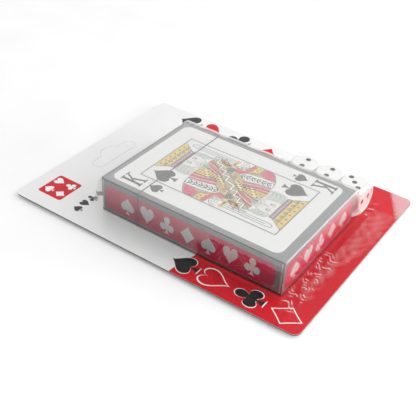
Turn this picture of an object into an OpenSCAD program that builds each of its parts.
// Carded pack of bridge-size playing cards with three dice.
// It lies flat: the backing card's underside is z = 0, its centre is the origin, +X runs
// from the hang header to the plain end and -Y is the front long side of the carton.

/* [Deck] */
// length of one card
card_l = 88; // [80:0.5:100]
// width of one card
card_w = 58; // [50:0.5:66]
// thickness of one card
card_t = 0.27; // [0.24:0.01:0.34]
// radius of the card's corners
card_r = 3.5; // [2:0.25:5]
// cards in one suit
suit_cards = 13; // [8:1:13]
// spare joker cards
joker_cards = 2; // [1:1:4]

/* [Carton] */
// thickness of the carton board
board_t = 0.4; // [0.3:0.05:0.6]
// play between the deck and the opening end
end_play = 0.9; // [0.5:0.1:3]
// play between the deck and each side
side_play = 0.9; // [0.5:0.1:3]
// play between the deck and the tuck tongue
top_play = 0.25; // [0.1:0.05:1]
// length of the tongue that tucks under the face panel
tongue_l = 14; // [10:0.5:18]
// radius of the tongue's free corners
tongue_r = 6; // [3:0.5:8]
// share of the carton's width that a dust flap reaches across
dust_share = 0.262; // [0.2:0.01:0.4]
// height that the dust flap's slanted lower edge gains at the fold
dust_slant = 5; // [3:0.5:6]
// radius of the dust flap's free upper corner
dust_r = 3; // [1:0.5:4]
// share of the carton's height that the inner end flap covers
inner_flap_share = 0.7; // [0.4:0.05:0.9]
// share of the carton's height that the glued seam strip covers
seam_share = 0.72; // [0.5:0.05:0.85]

/* [Backing card] */
// board thickness of the backing card
backing_t = 0.6; // [0.4:0.1:1]
// radius of the backing card's corners
backing_r = 3; // [1:0.5:6]
// bare header between the hang edge and the carton
header_l = 39; // [34:0.5:60]
// margin between the carton's plain end and the backing card's end
end_margin = 16; // [12:0.5:24]
// margin between the front edge and the carton
front_margin = 15.3; // [12:0.1:24]
// margin between the dice and the back edge
back_margin = 15.3; // [12:0.1:24]

/* [Hang slot] */
// length of the hang slot across the header
slot_l = 28.5; // [26:0.5:36]
// height of the slot's straight band
slot_band = 6.5; // [5.5:0.5:8]
// full height of the slot, round hump included
slot_h = 10.1; // [9:0.1:13]
// radius of the hump that rides on the hook
slot_hump_r = 6.8; // [5.5:0.1:8]
// board left between the hump and the hang edge
slot_edge = 6.6; // [4:0.1:8]
// distance of the slot's middle from the header's middle, towards the front
slot_off = 2; // [0:0.25:4]
// width of the die cut round the slot's knock-out
slot_kerf = 0.1; // [0.05:0.05:0.3]

/* [Wrap and film] */
// thickness of the carton's clear overwrap
wrap_t = 0.05; // [0.03:0.01:0.08]
// width of the tear tape
tape_w = 2; // [1.5:0.25:4]
// distance of the tear tape from the opening end
tape_at = 19; // [17:0.5:24]
// thickness of the clear skin film
film_t = 0.2; // [0.1:0.05:0.3]
// air between the film and what it covers
film_air = 0.3; // [0.2:0.05:0.6]
// spread of the film's end walls at their foot
film_foot_end = 5.6; // [5:0.2:7]
// spread of the film's front wall at its foot
film_foot_front = 3; // [2:0.25:5]
// spread of the film's other walls at their foot
film_foot_back = 4; // [2:0.25:5]

/* [Dice] */
// edge length of a die
die_s = 12.5; // [10:0.1:15]
// gap between neighbouring dice
die_gap = 0.2; // [0.1:0.05:0.5]
// gap between the carton's back side and the dice
die_back = 5.9; // [5:0.1:8]
// overhang of the row's last die past the carton's end
die_past = 0.4; // [0:0.1:1]
// share of the die's half edge that the rounding sphere's radius takes
die_round_share = 1.38; // [1.3:0.01:1.5]
// share of the die's edge that a pip's radius takes
pip_share = 0.1; // [0.07:0.005:0.105]
// share of the pip's radius that its depth takes
pip_deep_share = 0.44; // [0.3:0.02:0.6]
// share of the die's edge from a face's middle lines to the outer pips
pip_at_share = 0.248; // [0.22:0.002:0.26]

/* [Hidden] */
$fn = 48;
// clearance between neighbouring folds of board
fit = 0.02;
// ink and air between the backing card and what lies on it
lay_fit = 0.1;
// air between the carton and its overwrap
wrap_fit = 0.12;
// air between two cards
card_air = 0.01;
// overrun of every cut
over = 1;
// deck, and the carton folded round it
deck_n = 4 * suit_cards + joker_cards;
deck_h = deck_n * card_t + (deck_n - 1) * card_air;
carton_l = card_l + end_play + 5 * board_t + 5 * fit;
carton_w = card_w + 2 * side_play + 3 * board_t;
carton_h = deck_h + top_play + 3 * board_t + 2 * fit;
dust_l = carton_w * dust_share;
// backing card round the carton and the dice
backing_l = header_l + carton_l + end_margin;
backing_w = front_margin + carton_w + die_back + die_s + back_margin;
// carton's place on the backing card
x0 = -backing_l / 2 + header_l;
x1 = x0 + carton_l;
y0 = -backing_w / 2 + front_margin;
y1 = y0 + carton_w;
z0 = backing_t + lay_fit + wrap_t + wrap_fit;
z1 = z0 + carton_h;
ym = (y0 + y1) / 2;
// shell of the overwrap, measured out from the carton
wrap_in = wrap_fit;
wrap_out = wrap_fit + wrap_t;
tape_x = x0 + tape_at;
// inner faces of the folded ends
tuck_in = x0 + board_t;
dust_in = tuck_in + fit + board_t;
outer_in = x1 - board_t;
inner_in = outer_in - fit - board_t;
end_dust_in = inner_in - fit - board_t;
// tongue and the space left for the deck
tongue_top = z1 - board_t - fit;
tongue_low = tongue_top - board_t;
deck_x1 = end_dust_in - fit;
deck_y = (y0 + y1 - board_t) / 2;
deck_z = z0 + board_t + fit;
// hang slot's place
hump_x = -backing_l / 2 + slot_edge + slot_hump_r;
slot_low = -backing_l / 2 + slot_edge + slot_h;
// dice row
die_count = 3;
die_y = y1 + die_back + die_s / 2;
die_z = backing_t + lay_fit + die_s / 2;
die_pitch = die_s + die_gap;
die_x = x1 + die_past - die_s / 2;
pip_at = die_s * pip_at_share;
pip_r = die_s * pip_share;
pip_d = pip_r * pip_deep_share;
pip_ball = (pip_r * pip_r + pip_d * pip_d) / (2 * pip_d);
// film over the dice
dice_lo = die_x - (die_count - 1) * die_pitch - die_s / 2;
dice_hi = die_x + die_s / 2;
dice_top = die_z + die_s / 2;

// plate with four round corners, its low corner at the origin
module round_plate(l, w, r) {
  translate([r, 0]) square([l - 2 * r, w]);
  translate([0, r]) square([l, w - 2 * r]);
  for (x = [r, l - r], y = [r, w - r]) translate([x, y]) circle(r);
}

// hang slot: a straight band with round ends and a hump for the hook, drawn in from its edge
module hang_slot(inset) {
  end_r = slot_band / 2 - inset;
  band_y = (slot_l - slot_band) / 2;
  translate([0, -slot_off]) {
    translate([slot_low - slot_band + inset, -band_y]) square([2 * end_r, 2 * band_y]);
    for (side = [-1, 1]) translate([slot_low - slot_band / 2, side * band_y]) circle(end_r);
    intersection() {
      translate([hump_x, 0]) circle(slot_hump_r - inset);
      translate([slot_low - slot_h, -slot_hump_r]) square([slot_h - slot_band / 2, 2 * slot_hump_r]);
    }
  }
}

module backing_outline() {
  difference() {
    translate([-backing_l / 2, -backing_w / 2]) round_plate(backing_l, backing_w, backing_r);
    hang_slot(0);
  }
}

// block with sloped walls: the walls lean out by a foot on each side down to the card
module tent(xs, ys, top, foot_x, foot_y, grow, low) {
  intersection() {
    translate([0, ys[1] + foot_y[1] + grow + over, 0]) rotate([90, 0, 0])
      linear_extrude(ys[1] - ys[0] + foot_y[0] + foot_y[1] + 2 * (grow + over))
        polygon([[xs[0] - foot_x[0] - grow, backing_t], [xs[0] - grow, top + grow],
                 [xs[1] + grow, top + grow], [xs[1] + foot_x[1] + grow, backing_t],
                 [xs[1] + foot_x[1] + grow, backing_t - low], [xs[0] - foot_x[0] - grow, backing_t - low]]);
    translate([xs[0] - foot_x[0] - grow - over, 0, 0]) rotate([90, 0, 90])
      linear_extrude(xs[1] - xs[0] + foot_x[0] + foot_x[1] + 2 * (grow + over))
        polygon([[ys[0] - foot_y[0] - grow, backing_t], [ys[0] - grow, top + grow],
                 [ys[1] + grow, top + grow], [ys[1] + foot_y[1] + grow, backing_t],
                 [ys[1] + foot_y[1] + grow, backing_t - low], [ys[0] - foot_y[0] - grow, backing_t - low]]);
  }
}

// what the film covers: the wrapped carton, and the dice beside it
module covered(grow, low) {
  edge = wrap_out + film_air;
  tent([x0 - edge, x1 + edge], [y0 - edge, y1 + edge], z1 + edge,
       [film_foot_end, film_foot_end], [film_foot_front, film_foot_back], grow, low);
  tent([dice_lo - film_air, dice_hi + film_air], [y1, die_y + die_s / 2 + film_air], dice_top + film_air,
       [film_foot_back, film_foot_back], [0, film_foot_back], grow, low);
}

module box(x, y, z) {
  translate([x[0], y[0], z[0]]) cube([x[1] - x[0], y[1] - y[0], z[1] - z[0]]);
}

// tube of wrap between two stations, measured out from the carton
module wrap_tube(xs, inner, outer) {
  difference() {
    box(xs, [y0 - outer, y1 + outer], [z0 - outer, z1 + outer]);
    box([xs[0] - over, xs[1] + over], [y0 - inner, y1 + inner], [z0 - inner, z1 + inner]);
  }
}

module backing_card() {
  color("whitesmoke") linear_extrude(backing_t) backing_outline();
}

// piece of board that is still held in the slot
module slot_knockout() {
  color("white") linear_extrude(backing_t) hang_slot(slot_kerf);
}

// bit of film on the knock-out, die-cut with it
module slot_film() {
  color("lightcyan", 0.3) translate([0, 0, backing_t + lay_fit])
    linear_extrude(film_t) hang_slot(slot_kerf);
}

module skin_film() {
  color("lightcyan", 0.3) difference() {
    union() {
      translate([0, 0, backing_t + lay_fit]) linear_extrude(film_t) backing_outline();
      intersection() {
        covered(film_t, 0);
        box([-backing_l, backing_l], [-backing_w, backing_w], [backing_t + lay_fit, z1 + over]);
      }
    }
    covered(0, over);
  }
}

module overwrap_body() {
  color("aliceblue", 0.3) {
    start = tape_x + tape_w / 2 + fit;
    difference() {
      box([start, x1 + wrap_out], [y0 - wrap_out, y1 + wrap_out], [z0 - wrap_out, z1 + wrap_out]);
      box([start - over, x1 + wrap_in], [y0 - wrap_in, y1 + wrap_in], [z0 - wrap_in, z1 + wrap_in]);
    }
  }
}

module overwrap_cap() {
  color("aliceblue", 0.3) {
    end = tape_x - tape_w / 2 - fit;
    difference() {
      box([x0 - wrap_out, end], [y0 - wrap_out, y1 + wrap_out], [z0 - wrap_out, z1 + wrap_out]);
      box([x0 - wrap_in, end + over], [y0 - wrap_in, y1 + wrap_in], [z0 - wrap_in, z1 + wrap_in]);
    }
  }
}

module tear_tape() {
  color("gold") wrap_tube([tape_x - tape_w / 2, tape_x + tape_w / 2], wrap_in, wrap_out);
}

// four panels of one folded board with the seam strip glued inside the back side
module carton_sleeve() {
  color("silver") {
    box([tuck_in + fit, inner_in - fit], [y0, y1], [z0, z0 + board_t]);
    box([x0, outer_in - fit], [y0, y1], [z1 - board_t, z1]);
    box([dust_in + fit, end_dust_in - fit], [y0, y0 + board_t], [z0, z1]);
    box([dust_in + fit, end_dust_in - fit], [y1 - board_t, y1], [z0, z1]);
    box([dust_in + fit, end_dust_in - fit], [y1 - 2 * board_t, y1 - board_t], [z0, z0 + carton_h * seam_share]);
  }
}

module tuck_flap() {
  color("silver") box([x0, tuck_in], [y0 + board_t, y1 - board_t], [z0, tongue_top]);
}

module tuck_tongue() {
  w = carton_w - 6 * board_t;
  color("gainsboro") translate([0, 0, tongue_low]) linear_extrude(board_t) {
    translate([tuck_in + fit, ym - w / 2]) square([tongue_l - tongue_r, w]);
    translate([tuck_in + fit, ym - w / 2 + tongue_r]) square([tongue_l, w - 2 * tongue_r]);
    for (side = [-1, 1])
      translate([tuck_in + fit + tongue_l - tongue_r, ym + side * (w / 2 - tongue_r)]) circle(tongue_r);
  }
}

// dust flap drawn in the plane of the carton's end: across the fold, then up
module dust_outline() {
  low = board_t + fit;
  high = tongue_low - z0 - fit;
  difference() {
    polygon([[0, low], [dust_slant, low + dust_slant], [dust_l, low + dust_slant + dust_r],
             [dust_l, high], [0, high]]);
    translate([dust_l - dust_r, high - dust_r]) difference() {
      square(dust_r + over);
      circle(dust_r);
    }
  }
}

// dust flap of the front or back side with its outer face at a station
module dust_flap(x, side) {
  translate([x, ym, z0]) mirror([0, side > 0 ? 1 : 0, 0]) translate([0, -carton_w / 2, 0])
    rotate([90, 0, 90]) linear_extrude(board_t) dust_outline();
}

module dust_flap_front() {
  color("gainsboro") dust_flap(tuck_in + fit, -1);
}

module dust_flap_back() {
  color("gainsboro") dust_flap(tuck_in + fit, 1);
}

module end_flap_outer() {
  color("silver") box([outer_in, x1], [y0, y1], [z0, z1]);
}

module end_flap_inner() {
  color("gainsboro") box([inner_in, outer_in - fit], [y0 + board_t, y1 - board_t],
                         [z0, z0 + carton_h * inner_flap_share]);
}

module end_dust_flap_front() {
  color("gainsboro") dust_flap(end_dust_in, -1);
}

module end_dust_flap_back() {
  color("gainsboro") dust_flap(end_dust_in, 1);
}

// run of cards in the deck, counted up from the lowest card
module cards(first, count) {
  for (i = [first : first + count - 1])
    translate([deck_x1 - card_l, deck_y - card_w / 2, deck_z + i * (card_t + card_air)])
      linear_extrude(card_t) round_plate(card_l, card_w, card_r);
}

module spades() {
  color("white") cards(3 * suit_cards + joker_cards, suit_cards);
}

module hearts() {
  color("white") cards(2 * suit_cards + joker_cards, suit_cards);
}

module clubs() {
  color("white") cards(suit_cards + joker_cards, suit_cards);
}

module diamonds() {
  color("white") cards(joker_cards, suit_cards);
}

module jokers() {
  color("white") cards(0, joker_cards);
}

// pips of one face: places in units of the pip distance
function pip_spots(n) =
  n == 1 ? [[0, 0]] :
  n == 2 ? [[0, 1], [0, -1]] :
  n == 3 ? [[-1, 1], [0, 0], [1, -1]] :
  n == 4 ? [[-1, -1], [-1, 1], [1, -1], [1, 1]] :
  n == 5 ? [[-1, -1], [-1, 1], [0, 0], [1, -1], [1, 1]] :
           [[-1, -1], [-1, 0], [-1, 1], [1, -1], [1, 0], [1, 1]];

module pips(n) {
  for (p = pip_spots(n))
    translate([p[0] * pip_at, p[1] * pip_at, die_s / 2 - pip_d + pip_ball]) sphere(pip_ball);
}

// die with rounded corners; faces are named up, right, back and opposite faces add to seven
module die(place, up, right, back) {
  translate([die_x - place * die_pitch, die_y, die_z]) difference() {
    intersection() {
      cube(die_s, center = true);
      sphere(die_s / 2 * die_round_share);
    }
    pips(up);
    rotate([180, 0, 0]) pips(7 - up);
    rotate([90, 0, 90]) rotate([0, 0, 90]) pips(right);
    rotate([90, 0, -90]) pips(7 - right);
    rotate([-90, 0, 0]) pips(back);
    rotate([90, 0, 0]) pips(7 - back);
  }
}

module die_left() {
  color("ivory") die(2, 2, 3, 1);
}

module die_middle() {
  color("ivory") die(1, 2, 3, 1);
}

module die_right() {
  color("ivory") die(0, 3, 2, 6);
}

backing_card();
slot_knockout();
slot_film();
skin_film();
overwrap_body();
overwrap_cap();
tear_tape();
carton_sleeve();
tuck_flap();
tuck_tongue();
dust_flap_front();
dust_flap_back();
end_flap_outer();
end_flap_inner();
end_dust_flap_front();
end_dust_flap_back();
spades();
hearts();
clubs();
diamonds();
jokers();
die_left();
die_middle();
die_right();
